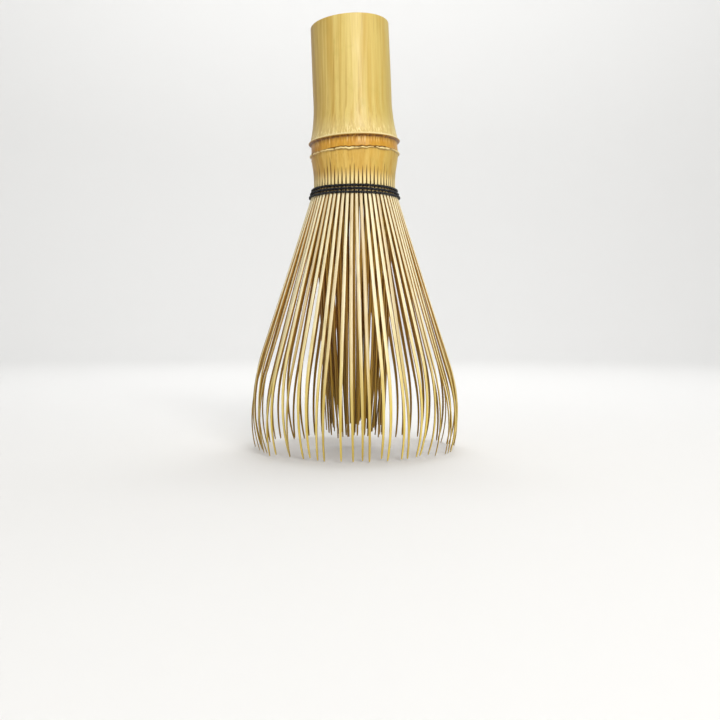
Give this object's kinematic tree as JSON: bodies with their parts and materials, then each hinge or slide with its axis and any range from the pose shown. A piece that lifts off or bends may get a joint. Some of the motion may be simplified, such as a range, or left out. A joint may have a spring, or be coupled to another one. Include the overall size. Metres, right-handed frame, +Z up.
{
  "type": "tea whisk",
  "caption": "Bamboo tea whisk: a hollow culm handle with a node, split below into a flared ring of outer tines and an inner tuft, bound with dark thread.",
  "frame": {"origin": "centre of the ring of outer tine tips, on the surface that the whisk stands on", "axes": "+Z up, from the tips to the handle, along the axis of the tines; -Y is the front; the handle leans a little towards -X"},
  "size_m": [0.0572, 0.0572, 0.1163],
  "materials": {
    "culm_skin": "smooth dried bamboo skin with a soft gloss and fine lengthwise fibres",
    "node_skin": "bamboo node, orange-tan, with a brown sheath scar",
    "culm_inside": "pale matt pith",
    "outer_tine": "shaved bamboo, glossy skin on the outer face, matt sides",
    "inner_tine": "shaved bamboo, matt, golden",
    "thread": "tight two-ply black cotton thread with a slight sheen"
  },
  "bodies": {
    "culm": {"handle_tube": "culm_skin", "node_ring": "node_skin", "node_diaphragm": "culm_inside", "neck_collar": "culm_skin", "outer_roots": "outer_tine", "inner_roots": "inner_tine", "thread_row_lower": "thread", "thread_row_middle": "thread", "thread_row_upper": "thread", "thread_inner_turn": "thread", "thread_knot": "thread"},
    "outer_stave_01": {"outer_tines_01": "outer_tine"},
    "outer_stave_02": {"outer_tines_02": "outer_tine"},
    "outer_stave_03": {"outer_tines_03": "outer_tine"},
    "outer_stave_04": {"outer_tines_04": "outer_tine"},
    "outer_stave_05": {"outer_tines_05": "outer_tine"},
    "outer_stave_06": {"outer_tines_06": "outer_tine"},
    "outer_stave_07": {"outer_tines_07": "outer_tine"},
    "outer_stave_08": {"outer_tines_08": "outer_tine"},
    "outer_stave_09": {"outer_tines_09": "outer_tine"},
    "outer_stave_10": {"outer_tines_10": "outer_tine"},
    "outer_stave_11": {"outer_tines_11": "outer_tine"},
    "outer_stave_12": {"outer_tines_12": "outer_tine"},
    "outer_stave_13": {"outer_tines_13": "outer_tine"},
    "outer_stave_14": {"outer_tines_14": "outer_tine"},
    "outer_stave_15": {"outer_tines_15": "outer_tine"},
    "outer_stave_16": {"outer_tines_16": "outer_tine"},
    "inner_stave_01": {"inner_tines_01": "inner_tine"},
    "inner_stave_02": {"inner_tines_02": "inner_tine"},
    "inner_stave_03": {"inner_tines_03": "inner_tine"},
    "inner_stave_04": {"inner_tines_04": "inner_tine"},
    "inner_stave_05": {"inner_tines_05": "inner_tine"},
    "inner_stave_06": {"inner_tines_06": "inner_tine"},
    "inner_stave_07": {"inner_tines_07": "inner_tine"},
    "inner_stave_08": {"inner_tines_08": "inner_tine"},
    "inner_stave_09": {"inner_tines_09": "inner_tine"},
    "inner_stave_10": {"inner_tines_10": "inner_tine"},
    "inner_stave_11": {"inner_tines_11": "inner_tine"},
    "inner_stave_12": {"inner_tines_12": "inner_tine"},
    "inner_stave_13": {"inner_tines_13": "inner_tine"},
    "inner_stave_14": {"inner_tines_14": "inner_tine"},
    "inner_stave_15": {"inner_tines_15": "inner_tine"},
    "inner_stave_16": {"inner_tines_16": "inner_tine"}
  },
  "joints": [
    {"name": "outer_flex_01", "type": "hinge", "parent": "culm", "child": "outer_stave_01", "pos_m": [0.01186, 0, 0.068], "axis": [0, -1, 0], "range_deg": [-3, 5], "stiffness_Nm_per_rad": 0.02},
    {"name": "outer_flex_02", "type": "hinge", "parent": "culm", "child": "outer_stave_02", "pos_m": [0.01096, 0.00454, 0.068], "axis": [0.3827, -0.9239, 0], "range_deg": [-3, 5], "stiffness_Nm_per_rad": 0.02},
    {"name": "outer_flex_03", "type": "hinge", "parent": "culm", "child": "outer_stave_03", "pos_m": [0.00839, 0.00839, 0.068], "axis": [0.7071, -0.7071, 0], "range_deg": [-3, 5], "stiffness_Nm_per_rad": 0.02},
    {"name": "outer_flex_04", "type": "hinge", "parent": "culm", "child": "outer_stave_04", "pos_m": [0.00454, 0.01096, 0.068], "axis": [0.9239, -0.3827, 0], "range_deg": [-3, 5], "stiffness_Nm_per_rad": 0.02},
    {"name": "outer_flex_05", "type": "hinge", "parent": "culm", "child": "outer_stave_05", "pos_m": [0, 0.01186, 0.068], "axis": [1, 0, 0], "range_deg": [-3, 5], "stiffness_Nm_per_rad": 0.02},
    {"name": "outer_flex_06", "type": "hinge", "parent": "culm", "child": "outer_stave_06", "pos_m": [-0.00454, 0.01096, 0.068], "axis": [0.9239, 0.3827, 0], "range_deg": [-3, 5], "stiffness_Nm_per_rad": 0.02},
    {"name": "outer_flex_07", "type": "hinge", "parent": "culm", "child": "outer_stave_07", "pos_m": [-0.00839, 0.00839, 0.068], "axis": [0.7071, 0.7071, 0], "range_deg": [-3, 5], "stiffness_Nm_per_rad": 0.02},
    {"name": "outer_flex_08", "type": "hinge", "parent": "culm", "child": "outer_stave_08", "pos_m": [-0.01096, 0.00454, 0.068], "axis": [0.3827, 0.9239, 0], "range_deg": [-3, 5], "stiffness_Nm_per_rad": 0.02},
    {"name": "outer_flex_09", "type": "hinge", "parent": "culm", "child": "outer_stave_09", "pos_m": [-0.01186, 0, 0.068], "axis": [0, 1, 0], "range_deg": [-3, 5], "stiffness_Nm_per_rad": 0.02},
    {"name": "outer_flex_10", "type": "hinge", "parent": "culm", "child": "outer_stave_10", "pos_m": [-0.01096, -0.00454, 0.068], "axis": [-0.3827, 0.9239, 0], "range_deg": [-3, 5], "stiffness_Nm_per_rad": 0.02},
    {"name": "outer_flex_11", "type": "hinge", "parent": "culm", "child": "outer_stave_11", "pos_m": [-0.00839, -0.00839, 0.068], "axis": [-0.7071, 0.7071, 0], "range_deg": [-3, 5], "stiffness_Nm_per_rad": 0.02},
    {"name": "outer_flex_12", "type": "hinge", "parent": "culm", "child": "outer_stave_12", "pos_m": [-0.00454, -0.01096, 0.068], "axis": [-0.9239, 0.3827, 0], "range_deg": [-3, 5], "stiffness_Nm_per_rad": 0.02},
    {"name": "outer_flex_13", "type": "hinge", "parent": "culm", "child": "outer_stave_13", "pos_m": [0, -0.01186, 0.068], "axis": [-1, 0, 0], "range_deg": [-3, 5], "stiffness_Nm_per_rad": 0.02},
    {"name": "outer_flex_14", "type": "hinge", "parent": "culm", "child": "outer_stave_14", "pos_m": [0.00454, -0.01096, 0.068], "axis": [-0.9239, -0.3827, 0], "range_deg": [-3, 5], "stiffness_Nm_per_rad": 0.02},
    {"name": "outer_flex_15", "type": "hinge", "parent": "culm", "child": "outer_stave_15", "pos_m": [0.00839, -0.00839, 0.068], "axis": [-0.7071, -0.7071, 0], "range_deg": [-3, 5], "stiffness_Nm_per_rad": 0.02},
    {"name": "outer_flex_16", "type": "hinge", "parent": "culm", "child": "outer_stave_16", "pos_m": [0.01096, -0.00454, 0.068], "axis": [-0.3827, -0.9239, 0], "range_deg": [-3, 5], "stiffness_Nm_per_rad": 0.02},
    {"name": "inner_flex_01", "type": "hinge", "parent": "culm", "child": "inner_stave_01", "pos_m": [0.01015, 0.0005, 0.068], "axis": [0.0491, -0.9988, 0], "range_deg": [-1.5, 1.5], "stiffness_Nm_per_rad": 0.01},
    {"name": "inner_flex_02", "type": "hinge", "parent": "culm", "child": "inner_stave_02", "pos_m": [0.00919, 0.00435, 0.068], "axis": [0.4276, -0.904, 0], "range_deg": [-1.5, 1.5], "stiffness_Nm_per_rad": 0.01},
    {"name": "inner_flex_03", "type": "hinge", "parent": "culm", "child": "inner_stave_03", "pos_m": [0.00683, 0.00753, 0.068], "axis": [0.741, -0.6716, 0], "range_deg": [-1.5, 1.5], "stiffness_Nm_per_rad": 0.01},
    {"name": "inner_flex_04", "type": "hinge", "parent": "culm", "child": "inner_stave_04", "pos_m": [0.00342, 0.00957, 0.068], "axis": [0.9415, -0.3369, 0], "range_deg": [-1.5, 1.5], "stiffness_Nm_per_rad": 0.01},
    {"name": "inner_flex_05", "type": "hinge", "parent": "culm", "child": "inner_stave_05", "pos_m": [-0.0005, 0.01015, 0.068], "axis": [0.9988, 0.0491, 0], "range_deg": [-1.5, 1.5], "stiffness_Nm_per_rad": 0.01},
    {"name": "inner_flex_06", "type": "hinge", "parent": "culm", "child": "inner_stave_06", "pos_m": [-0.00435, 0.00919, 0.068], "axis": [0.904, 0.4276, 0], "range_deg": [-1.5, 1.5], "stiffness_Nm_per_rad": 0.01},
    {"name": "inner_flex_07", "type": "hinge", "parent": "culm", "child": "inner_stave_07", "pos_m": [-0.00753, 0.00683, 0.068], "axis": [0.6716, 0.741, 0], "range_deg": [-1.5, 1.5], "stiffness_Nm_per_rad": 0.01},
    {"name": "inner_flex_08", "type": "hinge", "parent": "culm", "child": "inner_stave_08", "pos_m": [-0.00957, 0.00342, 0.068], "axis": [0.3369, 0.9415, 0], "range_deg": [-1.5, 1.5], "stiffness_Nm_per_rad": 0.01},
    {"name": "inner_flex_09", "type": "hinge", "parent": "culm", "child": "inner_stave_09", "pos_m": [-0.01015, -0.0005, 0.068], "axis": [-0.0491, 0.9988, 0], "range_deg": [-1.5, 1.5], "stiffness_Nm_per_rad": 0.01},
    {"name": "inner_flex_10", "type": "hinge", "parent": "culm", "child": "inner_stave_10", "pos_m": [-0.00919, -0.00435, 0.068], "axis": [-0.4276, 0.904, 0], "range_deg": [-1.5, 1.5], "stiffness_Nm_per_rad": 0.01},
    {"name": "inner_flex_11", "type": "hinge", "parent": "culm", "child": "inner_stave_11", "pos_m": [-0.00683, -0.00753, 0.068], "axis": [-0.741, 0.6716, 0], "range_deg": [-1.5, 1.5], "stiffness_Nm_per_rad": 0.01},
    {"name": "inner_flex_12", "type": "hinge", "parent": "culm", "child": "inner_stave_12", "pos_m": [-0.00342, -0.00957, 0.068], "axis": [-0.9415, 0.3369, 0], "range_deg": [-1.5, 1.5], "stiffness_Nm_per_rad": 0.01},
    {"name": "inner_flex_13", "type": "hinge", "parent": "culm", "child": "inner_stave_13", "pos_m": [0.0005, -0.01015, 0.068], "axis": [-0.9988, -0.0491, 0], "range_deg": [-1.5, 1.5], "stiffness_Nm_per_rad": 0.01},
    {"name": "inner_flex_14", "type": "hinge", "parent": "culm", "child": "inner_stave_14", "pos_m": [0.00435, -0.00919, 0.068], "axis": [-0.904, -0.4276, 0], "range_deg": [-1.5, 1.5], "stiffness_Nm_per_rad": 0.01},
    {"name": "inner_flex_15", "type": "hinge", "parent": "culm", "child": "inner_stave_15", "pos_m": [0.00753, -0.00683, 0.068], "axis": [-0.6716, -0.741, 0], "range_deg": [-1.5, 1.5], "stiffness_Nm_per_rad": 0.01},
    {"name": "inner_flex_16", "type": "hinge", "parent": "culm", "child": "inner_stave_16", "pos_m": [0.00957, -0.00342, 0.068], "axis": [-0.3369, -0.9415, 0], "range_deg": [-1.5, 1.5], "stiffness_Nm_per_rad": 0.01}
  ]
}
